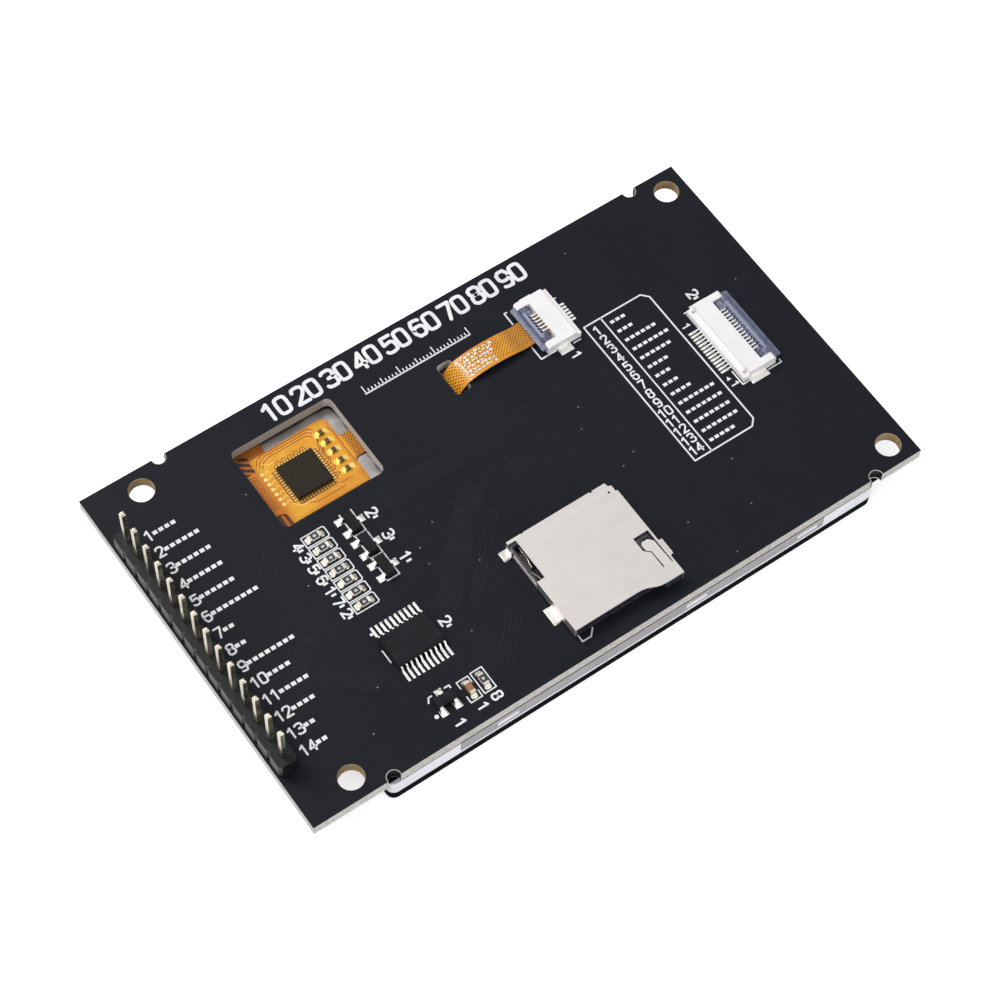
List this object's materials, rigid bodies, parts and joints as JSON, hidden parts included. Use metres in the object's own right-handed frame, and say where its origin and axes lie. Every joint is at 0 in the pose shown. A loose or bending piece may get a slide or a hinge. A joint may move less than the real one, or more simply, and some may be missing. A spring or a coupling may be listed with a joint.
{
  "type": "touch display module",
  "caption": "Backlit touch display on a circuit board with a pin header, a push-push memory card socket and flat-cable connectors.",
  "frame": {"origin": "middle of the circuit board's outline, at the level of the touch glass's outer face, on which the module lies", "axes": "+X along the board from the pin header to the spare cable connector, +Y across the board towards the window and the tail of the touch circuit, +Z out of the component side"},
  "size_m": [0.086, 0.05, 0.0144],
  "materials": {
    "board": "semi-gloss dark solder mask over glass laminate",
    "black_plastic": "moulded, fine matte",
    "ivory_plastic": "moulded, fine matte",
    "grey_plastic": "moulded, fine matte",
    "white_plastic": "moulded, smooth",
    "clear_plastic": "polished acrylic",
    "ceramic": "fired ceramic with tinned ends",
    "tin": "tin plate",
    "gold": "pale gold plate",
    "nickel_sheet": "nickel-plated sheet, satin",
    "spring_steel": "drawn wire",
    "plate_steel": "plated sheet, satin",
    "amber_film": "polyimide film over copper",
    "display_glass": "polished, black behind",
    "foam_tape": "black double-sided foam tape"
  },
  "bodies": {
    "module": {"pcb": "board", "header_strip": "black_plastic", "header_pin_01": "gold", "header_pin_02": "gold", "header_pin_03": "gold", "header_pin_04": "gold", "header_pin_05": "gold", "header_pin_06": "gold", "header_pin_07": "gold", "header_pin_08": "gold", "header_pin_09": "gold", "header_pin_10": "gold", "header_pin_11": "gold", "header_pin_12": "gold", "header_pin_13": "gold", "header_pin_14": "gold", "resistor_1": "ceramic", "resistor_2": "ceramic", "resistor_3": "ceramic", "resistor_4": "ceramic", "resistor_5": "ceramic", "resistor_6": "ceramic", "resistor_7": "ceramic", "resistor_8": "ceramic", "capacitor": "ceramic", "transistor_1": "black_plastic", "transistor_2": "black_plastic", "transistor_3": "black_plastic", "transistor_leads": "tin", "regulator": "black_plastic", "regulator_leads": "tin", "logic_chip": "black_plastic", "logic_chip_leads": "tin", "touch_connector_housing": "ivory_plastic", "touch_connector_terminals": "tin", "spare_connector_housing": "ivory_plastic", "spare_connector_terminals": "tin", "card_socket_shell": "nickel_sheet", "card_socket_base": "black_plastic", "card_socket_contacts": "gold", "slider_spring": "spring_steel", "lock_link": "spring_steel", "touch_flex": "amber_film", "touch_chip": "black_plastic", "flex_parts": "ceramic", "back_plate": "plate_steel", "display_frame": "white_plastic", "light_guide": "clear_plastic", "film_stack": "white_plastic", "display_cell": "display_glass", "driver_chip": "black_plastic", "backlight_leds": "white_plastic", "display_flex": "amber_film", "touch_sensor": "display_glass", "cover_glass": "display_glass", "gasket_tape": "foam_tape", "mounting_tape": "foam_tape"},
    "touch_latch": {"touch_connector_latch": "grey_plastic"},
    "spare_latch": {"spare_connector_latch": "grey_plastic"},
    "slider": {"card_slider": "black_plastic"}
  },
  "joints": [
    {"name": "touch_latch_hinge", "type": "hinge", "parent": "module", "child": "touch_latch", "pos_m": [0.01525, 0.01455, 0.00675], "axis": [0, 1, 0], "range_deg": [0, 90]},
    {"name": "spare_latch_hinge", "type": "hinge", "parent": "module", "child": "spare_latch", "pos_m": [0.0349, 0.00025, 0.00675], "axis": [0, -1, 0], "range_deg": [0, 90]},
    {"name": "card_slider_slide", "type": "slide", "parent": "module", "child": "slider", "axis": [0, 1, 0], "range_m": [0, 0.0016], "stiffness_N_per_m": 60, "deforming": ["slider_spring"]}
  ]
}
